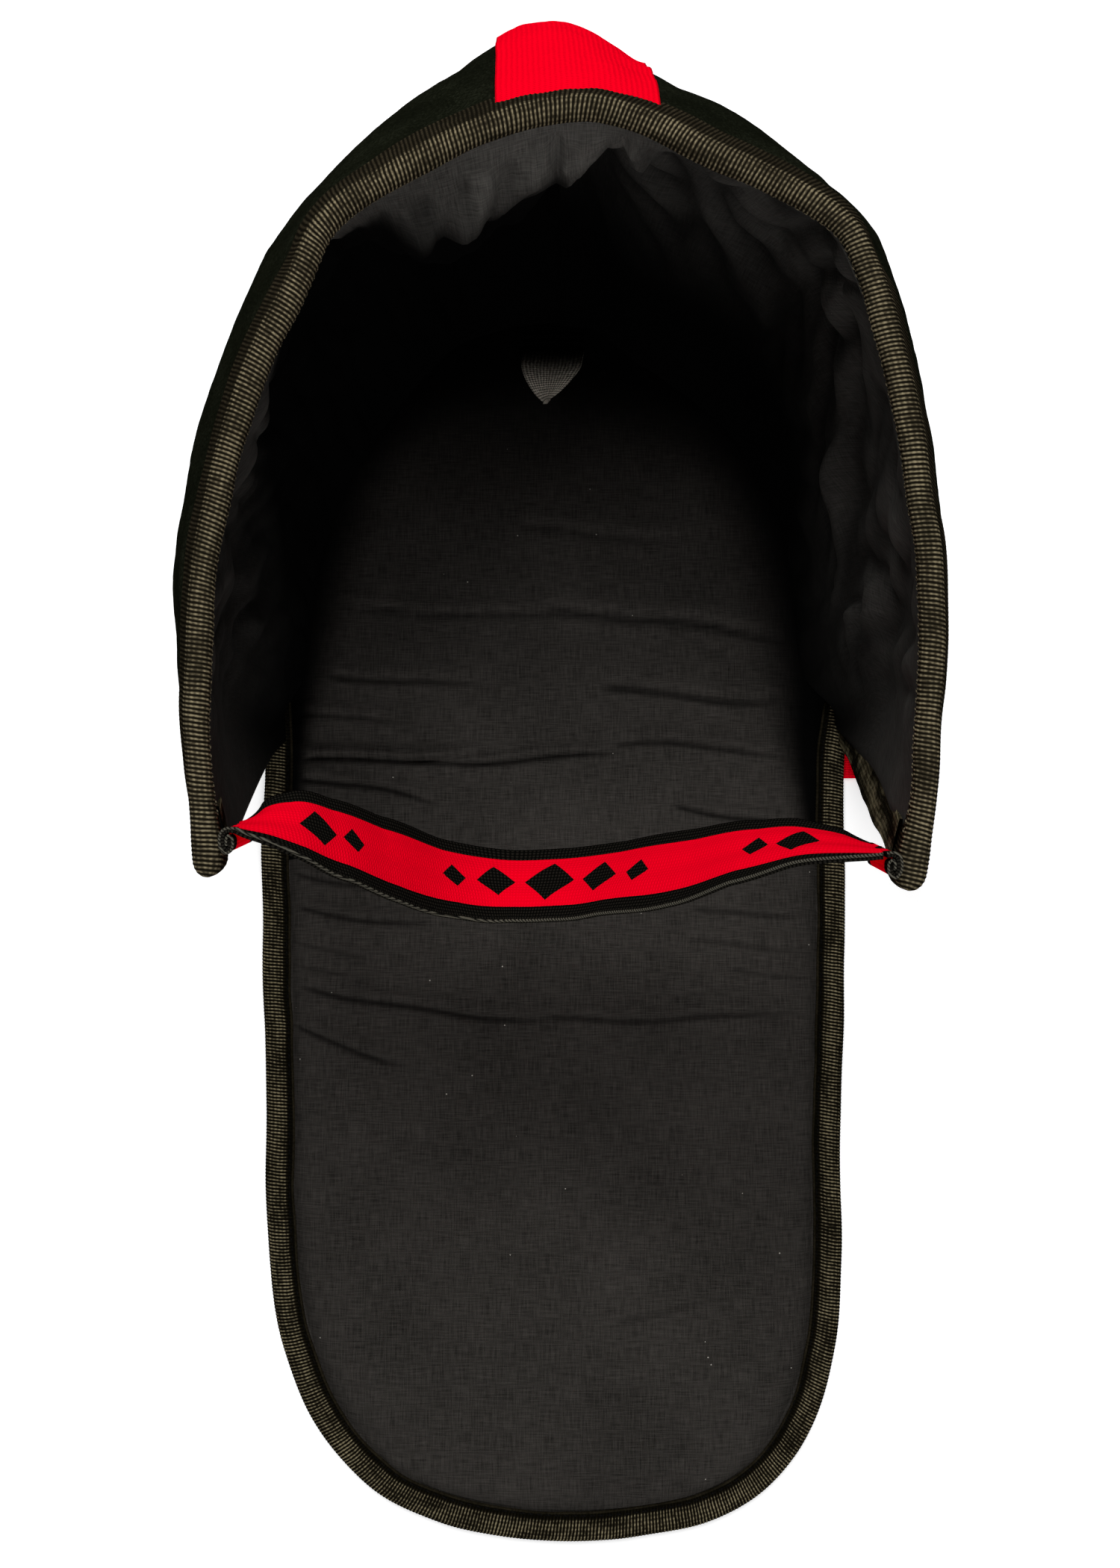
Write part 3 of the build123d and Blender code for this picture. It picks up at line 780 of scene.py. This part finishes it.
def rimFrame(count):
    # the rim's edge line with its outward and upward directions, run on a little past each corner
    arcs = np.linspace(0, 1, 1200)
    base = hoodGrid(np.array([0.90, 1.0]), arcs)
    both = np.concatenate([base[1], base[1] - base[0]], axis=1)
    first, last = both[0].copy(), both[-1].copy()
    first[:3] += unit(both[0, :3] - both[4, :3]) * rim["overrun"]
    last[:3] += unit(both[-1, :3] - both[-5, :3]) * rim["overrun"]
    both = np.concatenate([[first], both, [last]])
    lengths = lengthsAlong(both[:, :3])
    at = np.linspace(0, lengths[-1], count)
    both = np.stack([np.interp(at, lengths, both[:, i]) for i in range(6)], axis=1)
    line, rise = both[:, :3], both[:, 3:]
    along = unit(np.gradient(line, axis=0))
    up = unit(rise - (rise * along).sum(1, keepdims=True) * along)
    out = np.cross(along, up)
    if ((line - np.array(hood["inside"])) * out).sum() < 0:
        out = -out
    return line, out, up


def makeRimBinding():
    line, out, up = rimFrame(rim["columns"])
    lengths = lengthsAlong(line)
    middle = line - out * (rim["half"] - 1.3) - up * (rim["crown"] - 1.6)
    wave = ripple(middle, 15, 4.0)
    middle = middle + up * (wave * 0.9)[:, None] + out * (ripple(middle, 24, 1.7) * 0.8)[:, None]
    # it narrows to a round end at each corner, just past a thicker place where it is folded in
    ends = np.minimum(lengths, lengths[-1] - lengths)
    scale = np.sqrt(1 - np.clip(1 - ends / 5.5, 0, 1) ** 2.4) * (1 + 0.24 * hill(ends, 8, 8))
    scale = scale * (1 + 0.08 * wave)
    piece = tapeAlong("rim_binding_tape", middle, out, up, uSection(rim), rimTape, "hood",
                      np.maximum(scale, 0.08))
    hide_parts("rim_binding")
    seam = middle - out * ((rim["half"] + 0.1) * scale)[:, None] - up * 0.9
    sewn = ends > rim["sewnFrom"]
    stitchRow("rim_stitches", seam[sewn], -out[sewn], paleThread, "hood")


hem = {
    "rows": 200, "columns": 560, "legPoints": 6, "turnPoints": 12,
    "fold": 11.7, "half": 4.0, "crown": 2.6,
    "from": 0.045, "to": 0.94,                 # shares of the hood's height
}


def makeHem(side):
    # tape over a front edge, from the foot up to the rim's tape
    shares = np.linspace(hem["from"], hem["to"], hem["rows"])
    grid = hoodGrid(shares, np.array([0, 0.012]) if side > 0 else np.array([1, 0.988]))
    both = evenly(np.concatenate([grid[:, 0], grid[:, 0] - grid[:, 1]], axis=1), hem["columns"])
    line, forward = both[:, :3], both[:, 3:]
    along = unit(np.gradient(line, axis=0))
    forward = unit(forward - (forward * along).sum(1, keepdims=True) * along)
    out = np.cross(along, forward)
    if (out[:, 0] * side).sum() < 0:
        out = -out
    middle = line - out * (hem["half"] - 0.6) - forward * 1.2
    middle = middle + forward * ripple(middle, 20, 6.0)[:, None]
    where = "right" if side > 0 else "left"
    piece = tapeAlong("hem_tape_" + where, middle, out, forward, uSection(hem), hemTape, "hood")
    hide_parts("hem_binding_" + where)


def placesAcross(row, x):
    # places on a row of the hood's face, each found by its x
    order = np.argsort(row[:, 0])
    return np.stack([np.interp(x, row[order, 0], row[order, axis]) for axis in range(3)], axis=1)


stripe = {
    "rows": 260, "columns": 60, "thick": 1.4,
    "half": 24.0,                         # half its width
    "above": 1.9,                         # how far it stands off the suede
    "aside": 5.5,                         # how far it is drawn to the right at the rim
    "from": 0.012, "to": 0.99,            # shares of the hood's height
    "arcFrom": 0.36, "arcTo": 0.64,       # the part of the hood's way round that it is laid over
}


def makeStripe():
    # red webbing over the crown seam
    shares = np.linspace(stripe["from"], stripe["to"], stripe["rows"])
    base = hoodGrid(shares, np.linspace(stripe["arcFrom"], stripe["arcTo"], 900))
    above = stripe["above"] * ease(1 - shares, 0.0, 0.05)
    base = base + outwards(base) * (shellSwell(base) + above[:, None])[..., None]
    us = np.linspace(-1, 1, stripe["columns"])
    grid = np.array([placesAcross(row, stripe["aside"] * share ** 1.5 + us * stripe["half"])
                     for share, row in zip(shares, base)])
    dents = ripple(np.stack(np.meshgrid(shares * 200, us * 24, indexing="ij"), -1), 9, 2.2)
    grid = grid + outwards(grid) * (dents * 0.5)[..., None]
    down = lengthsAlong(grid[:, len(us) // 2])
    piece = clothPiece("crown_webbing", grid, flatUvs(us * stripe["half"], down), redWebbing,
                       "hood", stripe["thick"], awayFrom=hood["inside"])
    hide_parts("crown_stripe")


back = {"rows": 40, "columns": 200, "thick": 0.9, "share": 0.012, "level": 1.15, "lowest": 0.95}


def makeBackPanel():
    # the suede panel that the hood lies on, laid from its spine out to the hood's foot
    outline = hoodGrid(np.array([back["share"]]), np.linspace(0, 1, back["columns"]))[0][:, :2]
    spine = np.stack([outline[:, 0] * 0.0, np.clip(outline[:, 1], 24, 150)], axis=1)
    flat = spine[None] + (outline - spine)[None] * np.linspace(0, 1, back["rows"])[:, None, None]
    z = np.maximum(back["level"] + 0.25 * ripple(flat, 30, 4.4), back["lowest"])
    piece = clothPiece("back_suede", atHeight(flat, z), flat, suedeBlack, "hood", back["thick"],
                       awayFrom=(0, 80, -200))
    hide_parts("back_panel")


napeBand = {"left": -119.0, "right": 121.5, "front": 4.0, "back": 19.7, "level": 1.35, "thick": 1.2}


def makeNapeBand():
    # the red band along the back's lower seam
    band = flatUvs(np.linspace(napeBand["left"], napeBand["right"], 160),
                   np.linspace(napeBand["front"], napeBand["back"], 12))
    z = napeBand["level"] + 0.2 * ripple(band, 18, 7.7)
    piece = clothPiece("nape_webbing", atHeight(band, z), band, redWebbing, "hood",
                       napeBand["thick"], awayFrom=(0, 10, -50))
    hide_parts("nape_band")


makeShell()
makeLining()
makeRimBinding()
makeHem(1)
makeHem(-1)
makeStripe()
makeBackPanel()
makeNapeBand()
print("hood made")


# the pad: one facing, back and tape that run from the crown's foot over the fold to the flap's tip

padHead = [(0, 203), (38, 199), (71, 184.5), (96, 159), (112, 129), (120.5, 95), (122.5, 66)]
pad = {
    "top": 12.7,         # height of the facing in the middle
    "edgeTop": 4.4,      # and where the tape starts
    "tape": 10.8,        # the tape's width
    "columns": 160,
    "headStart": 60.0,   # beyond these two levels the outline closes in
    "tipStart": -190.0,
    "rise": 4.5,         # the facing rises to its full height over a few of these
    "bare": 14,          # no sewn edge this far in, where the hood's wall stands on the pad
    # from the crown down the right side, round the tip and up the left side
    "outline": padHead + [
        (120.5, 38), (116.5, 10), (115.5, -40), (114.5, -80), (112.8, -120), (111.3, -160), (110.6, -190),
        (107.6, -221), (101.5, -242), (91, -261.5), (76, -277), (57, -286.5), (32, -291.8), (4, -293.3),
        (-23, -291.3), (-48, -286), (-68, -277), (-84.5, -263), (-98, -245), (-108, -221), (-113, -200),
        (-116, -175), (-117.2, -140), (-118.2, -100), (-120, -60), (-121.2, -25), (-120.7, 8), (-121.5, 38),
    ] + mirrored(padHead),
}

# creases of the facing: from, to, the ridge's height and width, and how far the middle bows towards -Y
creases = [
    ((-92, 73), (20, 69), 0.9, 3.0, 1.5),
    ((-10, 71), (98, 58), 1.6, 4.4, -2.0),
    ((-96, 45), (-24, 41), 0.8, 3.6, 1.0),
    ((14, 41), (98, 33), 1.2, 4.4, 2.0),
    ((-106, 11), (-22, 13), 2.0, 2.8, 2.5),
    ((-64, 8), (34, 15), 1.7, 2.6, 2.0),
    ((18, 16), (98, 9), 1.1, 3.2, -3.0),
    ((-108, 3), (-44, -9), 1.5, 3.0, -1.5),
    ((44, -8), (100, -17), 1.3, 2.8, 1.5),
    ((-108, -36), (-64, -41), 1.0, 2.6, 1.0),
    ((-108, -49), (-44, -57), 1.1, 2.8, 1.5),
    ((52, -50), (104, -52), 0.8, 3.0, 1.5),
    ((-108, -80), (8, -95), 1.3, 3.4, 3.0),
    ((-10, -93), (104, -89), 1.0, 3.2, 2.5),
    ((-108, -95), (-56, -112), 1.2, 3.2, 2.5),
    ((-108, -63), (-70, -70), 0.6, 2.4, 1.0),
    ((-108, -71), (-82, -77), 0.6, 2.4, 0.5),
    ((48, -62), (104, -66), 0.6, 2.6, 1.0),
    ((66, -74), (104, -77), 0.5, 2.4, 0.5),
    ((-108, 30), (-60, 26), 0.6, 3.0, 1.0),
    ((-20, 108), (60, 100), 0.7, 4.0, 2.0),
    ((20, -210), (70, -196), 0.5, 4.0, 2.0),
]


def creaseHeight(x, y):
    # for each crease a soft ridge above a sharp narrow groove, both in millimetres
    ridges, grooves = np.zeros_like(x), np.zeros_like(x)
    for (x0, y0), (x1, y1), high, wide, bow in creases:
        run = (x - x0) / (x1 - x0)
        line = y0 + (y1 - y0) * run - bow * np.sin(pi * np.clip(run, 0, 1)) + 0.6 * np.sin(x / 9.0 + y0)
        fade = ease(run, 0, 0.1) * ease(1 - run, 0, 0.35)
        sides = hill(y, line + wide, 0.9 * wide) + 0.35 * hill(y, line - wide, 0.9 * wide)
        ridges += 1.2 * high * fade * sides
        grooves += 1.3 * high * fade * hill(y, line, 0.36 * wide)
    return ridges, grooves


def padEdge(inset, count=900):
    # the pad's outline moved in by some millimetres, evenly spaced
    knots = lengthsAlong(pad["outline"])
    line = evenly(curveThrough(pad["outline"], knots, np.linspace(0, knots[-1], 2000)), count)
    along = unit(np.gradient(line, axis=0))
    out = np.stack([-along[:, 1], along[:, 0]], 1)
    if (out * (line - np.array([0, -50]))).sum() < 0:
        out = -out
    return line - out * inset, out


def padSheet(inset, straight, curved, columns):
    # places all over the pad, and how far each is from its edge
    edge = padEdge(inset)[0]
    low = edge[:, 1].argmin()
    turn = np.linspace(0, pi / 2 * 0.99, curved)
    head = pad["headStart"] + (edge[0, 1] - pad["headStart"]) * np.sin(turn)
    tip = pad["tipStart"] + (edge[low, 1] - pad["tipStart"]) * np.sin(turn)
    ys = np.concatenate([head[::-1], np.linspace(pad["headStart"], pad["tipStart"], straight)[1:-1], tip])
    right = np.interp(-ys, -edge[:low + 1, 1], edge[:low + 1, 0])
    left = np.interp(ys, edge[low:, 1], edge[low:, 0])
    us = (np.sin(np.linspace(-1, 1, columns) * pi / 2) + 1) / 2
    x = left[:, None] + (right - left)[:, None] * us[None]
    y = np.repeat(ys[:, None], columns, 1)
    far = np.stack([np.hypot(row[:, None] - edge[None, :, 0], level - edge[None, :, 1]).min(1)
                    for row, level in zip(x, ys)])
    return x, y, far


def bendAtFold(piece):
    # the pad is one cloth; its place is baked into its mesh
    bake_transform(piece)


def facingHeight(flat, edge, relief):
    # crowned over the padding and puckered along its sewn edge
    under = np.clip(edge - 2.2, 0, None)  # the tape lies over the first two millimetres
    z = pad["edgeTop"] + (pad["top"] - pad["edgeTop"]) * (1 - np.exp(-under / pad["rise"]))
    soft = ripple(flat, 55, 2.2) * 1.2 + ripple(flat * np.array([0.5, 1.3]), 15, 7.1) * 0.45
    pucker = 0.5 * np.cos(2 * pi * flat[..., 1] / 7.5 + 3 * ripple(flat, 30, 5.0))
    pucker = pucker * np.exp(-under / 4) * ease(under, 0.2, 1.5)
    return z + relief * ease(edge, 2.5, 9) + soft * ease(edge, 2, 16) + pucker


def facingPaintedShading(x, y, edge, bare, ridges, grooves):
    # painted shade and highlight: black deep under the hood and along the pad's edge there, wider on the
    # right, a little darker towards the crown, darker in the creases and lighter on their ridges
    reach = 12 + 26 * ease(y, 0, 95) + 14 * ease(y, -25, 25) * (x > 0)
    paintedShading = ease(edge, bare + 0.3 * reach, bare + reach) * ease(-y, -186, -112) * (1 - 0.2 * ease(y, 0, 80))
    paintedShading = np.where(y > -30, paintedShading, 1.0) * (1 - 0.75 * np.clip(grooves / 1.6, 0, 1) + 0.25 * ridges)
    return np.clip(paintedShading, 0, 1.5)


def makeFacing():
    x, y, edge = padSheet(pad["tape"] - 1.2, 520, 90, pad["columns"])
    bare = pad["bare"] * ease(y, 30, 60)
    ridges, grooves = creaseHeight(x, y)
    flat = np.stack([x, y], axis=-1)
    z = facingHeight(flat, edge + bare, ridges - grooves)
    # painted light and shade for the facing
    paintedShading = facingPaintedShading(x, y, edge + bare, bare, ridges, grooves)
    piece = clothPiece("pad_facing", atHeight(flat, z), flat, padCotton,
                       awayFrom=(0, -50, -300), paintedShading=paintedShading)
    bendAtFold(piece)
    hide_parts("head_pad_facing", "head_pad_foam", "nape_flap_facing", "nape_flap_foam")


def makePadBack():
    x, y, edge = padSheet(2.0, 160, 40, 90)
    flat = np.stack([x, y], axis=-1)
    piece = clothPiece("pad_back", atHeight(flat, 1.6 + 0.35 * ripple(flat, 40, 6.1)), flat,
                       liningCotton, thick=0.6, awayFrom=(0, -50, 300), paintedShading=np.full(x.shape, 0.5))
    bendAtFold(piece)
    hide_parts("head_pad_backing", "nape_flap_backing")


flapTape = {
    "columns": 2050, "top": 46.0,
    # its section as (out, up) from the pad's edge: from the stitched inner edge over the padded ridge, round
    # the nose and back underneath
    "section": [
        (-11.6, 4.8), (-11.4, 5.3), (-10.5, 5.4), (-9.6, 5.0), (-8.8, 4.9), (-7.8, 5.9), (-6.6, 6.7),
        (-5.4, 6.9), (-4.2, 6.9), (-3.0, 6.6), (-1.9, 6.1), (-1.0, 5.2), (-0.35, 4.1), (0.0, 2.9),
        (-0.1, 1.7), (-0.5, 0.9), (-1.2, 0.4), (-2.4, 0.1), (-6.0, 0.05), (-11.6, 0.05), (-11.6, 0.9),
        (-6.0, 0.9), (-2.0, 2.8), (-6.0, 4.6), (-11.0, 4.2), (-11.6, 4.8),
    ],
}


def makeFlapBinding():
    # round the flap only: from its right upper end round the tip to the left one
    line, out = padEdge(0, 4000)
    below = line[:, 1] < flapTape["top"]
    both = evenly(np.concatenate([line[below], out[below]], axis=1), flapTape["columns"])
    line, out = atHeight(both[:, :2], 0.0), atHeight(unit(both[:, 2:]), 0.0)
    outs, ups = np.array(flapTape["section"]).T
    lift = np.concatenate([np.ones(18), np.full(2, 0.5), np.zeros(6)])
    wave = ripple(line, 17, 8.8)
    line = line + out * (ripple(line, 30, 1.3) * 0.8)[:, None]
    piece = tapeAlong("flap_binding_tape", line, out, 0 * line + (0, 0, 1), (outs, ups, lift), padTape,
                      scale=1 + 0.05 * wave)
    bendAtFold(piece)
    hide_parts("nape_flap_binding")


def makePadStitches():
    line = padEdge(pad["tape"] - 0.9, 3000)[0]
    line = atHeight(line[line[:, 1] < flapTape["top"]], 5.1)
    bendAtFold(stitchRow("pad_stitches", line, 0 * line + (0, 0, 1), darkThread))


makeFacing()
makePadBack()
makeFlapBinding()
makePadStitches()
print("pad made")


# the strap, from the left corner to the right one

strap = {
    "width": 33.0,
    "thick": 1.3,
    "columns": 300,
    "rows": 26,
    # its middle line: x, y, z and the lean of its width in degrees
    "path": [
        (-94, -33.5, 190.5, 80), (-86, -32.5, 189.5, 64), (-77, -33, 185.5, 53), (-66, -36, 175, 49),
        (-52, -40.5, 158, 45), (-35, -45, 138, 43), (-17, -47, 129, 42), (0, -46.7, 132.5, 44),
        (16, -45.3, 142, 48), (38, -43, 161, 50), (56, -39.5, 176, 59), (70, -38, 185, 64),
        (82, -39, 189.5, 70), (94, -40.5, 191.5, 80),
    ],
}


def strapFrame(count):
    path = np.array(strap["path"], float)
    knots = lengthsAlong(path[:, :3])
    path = curveThrough(path, knots, np.linspace(0, knots[-1], count))
    lean = np.radians(path[:, 3])
    across = np.stack([lean * 0, -np.cos(lean), np.sin(lean)], 1)
    return path[:, :3], across


def makeStrap():
    line, across = strapFrame(strap["columns"])
    along = unit(np.gradient(line, axis=0))
    across = unit(across - (across * along).sum(1, keepdims=True) * along)
    face = np.cross(along, across)
    lengths = lengthsAlong(line)
    lengths = lengths - lengths[-1] / 2
    us = np.linspace(-1, 1, strap["rows"])
    cup = 0.9 * us ** 2 + 0.25 * np.cos(us * pi * 3)
    wave = ripple(line, 22, 3.9) * 0.7
    grid = (line[None] + across[None] * (us * strap["width"] / 2)[:, None, None]
            + face[None] * (cup[:, None] + wave[None])[..., None])
    piece = clothPiece("red_strap", grid, flatUvs(lengths, (us + 1) * strap["width"] / 2),
                       redElastic, "strap", strap["thick"], awayFrom=(0, 0, 0))
    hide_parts("elastic_strap")
    return line, across, face, wave


def roundCord(name, line, radius, material, body, sides=8):
    # a thin round cord along a line
    along = unit(np.gradient(line, axis=0))
    first = unit(np.cross(along, np.array([0.31, 0.2, 0.93])))
    second = np.cross(along, first)
    turn = np.linspace(0, 2 * pi, sides + 1)
    grid = line[None] + radius * (np.cos(turn)[:, None, None] * first[None]
                                  + np.sin(turn)[:, None, None] * second[None])
    uvs = flatUvs(lengthsAlong(line), turn * radius)
    return clothPiece(name, grid, uvs, material, body, merge=True)


def makeStrapEdge(line, across, face, wave):
    edge = line + across * (strap["width"] / 2 + 0.3) + face * (wave + 0.4)[:, None]
    roundCord("strap_edge_cord", edge, 0.48, greyCord, "strap")
    seam = line + across * (strap["width"] / 2 - 1.6) + face * (wave + 0.72)[:, None]
    stitchRow("strap_stitches", seam, face, darkThread, "strap")


strapEnd = {
    "weaveStart": 88,  # its weave runs on from the strap's, this far from the strap's middle
    # the rolled end as (outwards, backwards) from the strap's end, in its cross section
    "roll": [(-2.0, 0.0), (0.4, 0.0), (1.7, -0.9), (2.3, -3.0), (1.9, -5.6), (0.6, -7.0), (-0.8, -6.4),
             (-1.5, -4.4), (-1.1, -2.5), (-0.2, -2.0), (0.4, -3.2), (0.3, -4.8)],
}


def makeStrapEnd(side):
    # the strap's end, rolled in on itself and sewn to the hood's corner
    line, across = strapFrame(40)
    index = -1 if side > 0 else 0
    base, width = line[index], across[index]
    out = np.array([side, 0.0, 0.0])
    face = np.cross(np.array([1.0, 0, 0]), width)
    if face[2] < 0:
        face = -face
    knots = lengthsAlong(strapEnd["roll"])
    path = curveThrough(strapEnd["roll"], knots, np.linspace(0, knots[-1], 70))
    us = np.linspace(-1, 1, 20)
    spine = base[None] + out[None] * path[:, :1] + face[None] * path[:, 1:]
    grid = spine[None] + width[None, None] * (us * strap["width"] / 2)[:, None, None]
    uvs = flatUvs(side * (lengthsAlong(path) + strapEnd["weaveStart"]), (us + 1) * strap["width"] / 2)
    where = "right" if side > 0 else "left"
    piece = clothPiece("strap_roll_" + where, grid, uvs, redElastic, "hood", strap["thick"],
                       awayFrom=base + out * 0.4 - face * 3.6)
    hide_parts("strap_end_" + where)
    rimLine = spine + width[None] * (strap["width"] / 2 + 0.2)
    roundCord("strap_roll_" + where + "_cord", rimLine, 0.42, greyCord, "hood", 6)


makeStrapEdge(*makeStrap())
makeStrapEnd(1)
makeStrapEnd(-1)
print("strap made")


tab = {"half": 12.5, "x": -2.5, "root": 181.6, "tip": 158.0, "thick": 1.8}


def makeTab():
    # a short loop of coarse webbing: flat at its root, its tip drawn to a blunt point and curled up
    v = np.linspace(0, 1, 40)[:, None]
    us = np.linspace(-1, 1, 34)
    narrow = np.clip((v - 0.3) / 0.7, 0, 1)
    half = tab["half"] * np.maximum(1 - narrow ** 1.7, 0.06) ** 0.75
    x = tab["x"] + half * us - 3.0 * v
    y = tab["root"] + (tab["tip"] - tab["root"]) * v + 0 * us
    z = 14.5 + 7.5 * np.sin(v * pi * 0.8) + 2.2 * v ** 2 * us - 2.4 * us ** 2 * v
    piece = clothPiece("coarse_tab", np.stack([x, y, z], axis=-1), flatUvs(us * tab["half"], v[:, 0] * 25),
                       blackWebbing, "tab", tab["thick"], awayFrom=(0, 170, -50))
    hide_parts("webbing_tab")


def makeTabRoot():
    # sewn flat under the hood's lining; its front edge runs down clear of the tab's swing
    y = np.linspace(tab["root"] + 7.0, tab["root"] + 0.6, 14)
    across = np.linspace(-1, 1, 30) * tab["half"]
    dip = 2.6 * ease(tab["root"] + 3.2 - y, 0, 2.4)
    root = atHeight(flatUvs(tab["x"] + across, y), 13.9 + 0.3 * np.cos(across / 4.0) - dip[:, None])
    piece = clothPiece("tab_root_webbing", root, flatUvs(across, -y), blackWebbing, "hood",
                       1.4, awayFrom=(0, 170, -50))
    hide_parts("tab_root")


makeTab()
makeTabRoot()
print("tab made")
